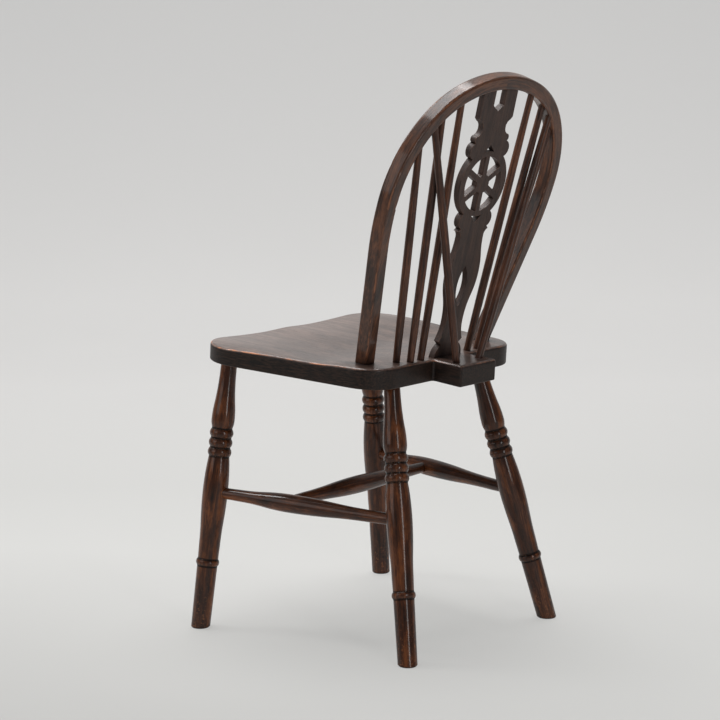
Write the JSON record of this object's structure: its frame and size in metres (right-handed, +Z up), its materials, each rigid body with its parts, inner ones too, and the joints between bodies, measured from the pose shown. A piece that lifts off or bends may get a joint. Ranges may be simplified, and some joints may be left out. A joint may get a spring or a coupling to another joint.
{
  "type": "wheelback chair",
  "caption": "Wooden dining chair with a saddled seat, turned splayed legs, an H stretcher, and a bent hoop back filled with sticks and a pierced wheel splat",
  "frame": {"origin": "on the floor under the centre of the chair's bounding box", "axes": "+Z up, -Y the way the sitter faces, +X the sitter's left"},
  "size_m": [0.4853, 0.459, 0.8948],
  "materials": {
    "brace_spindle_left": "stained, satin",
    "brace_spindle_right": "stained, satin",
    "hoop": "stained, satin",
    "hoop_wedge_left": "stained, satin",
    "hoop_wedge_right": "stained, satin",
    "leg_front_left": "stained, satin",
    "leg_front_right": "stained, satin",
    "leg_rear_left": "stained, satin",
    "leg_rear_right": "stained, satin",
    "seat": "stained, satin",
    "spindle_left_inner": "stained, satin",
    "spindle_left_middle": "stained, satin",
    "spindle_left_outer": "stained, satin",
    "spindle_right_inner": "stained, satin",
    "spindle_right_middle": "stained, satin",
    "spindle_right_outer": "stained, satin",
    "stretcher_cross": "stained, satin",
    "stretcher_left": "stained, satin",
    "stretcher_right": "stained, satin",
    "wheel_splat": "stained, satin"
  },
  "bodies": {
    "root": {"brace_spindle_left": "brace_spindle_left", "brace_spindle_right": "brace_spindle_right", "hoop": "hoop", "hoop_wedge_left": "hoop_wedge_left", "hoop_wedge_right": "hoop_wedge_right", "leg_front_left": "leg_front_left", "leg_front_right": "leg_front_right", "leg_rear_left": "leg_rear_left", "leg_rear_right": "leg_rear_right", "seat": "seat", "spindle_left_inner": "spindle_left_inner", "spindle_left_middle": "spindle_left_middle", "spindle_left_outer": "spindle_left_outer", "spindle_right_inner": "spindle_right_inner", "spindle_right_middle": "spindle_right_middle", "spindle_right_outer": "spindle_right_outer", "stretcher_cross": "stretcher_cross", "stretcher_left": "stretcher_left", "stretcher_right": "stretcher_right", "wheel_splat": "wheel_splat"}
  },
  "joints": []
}
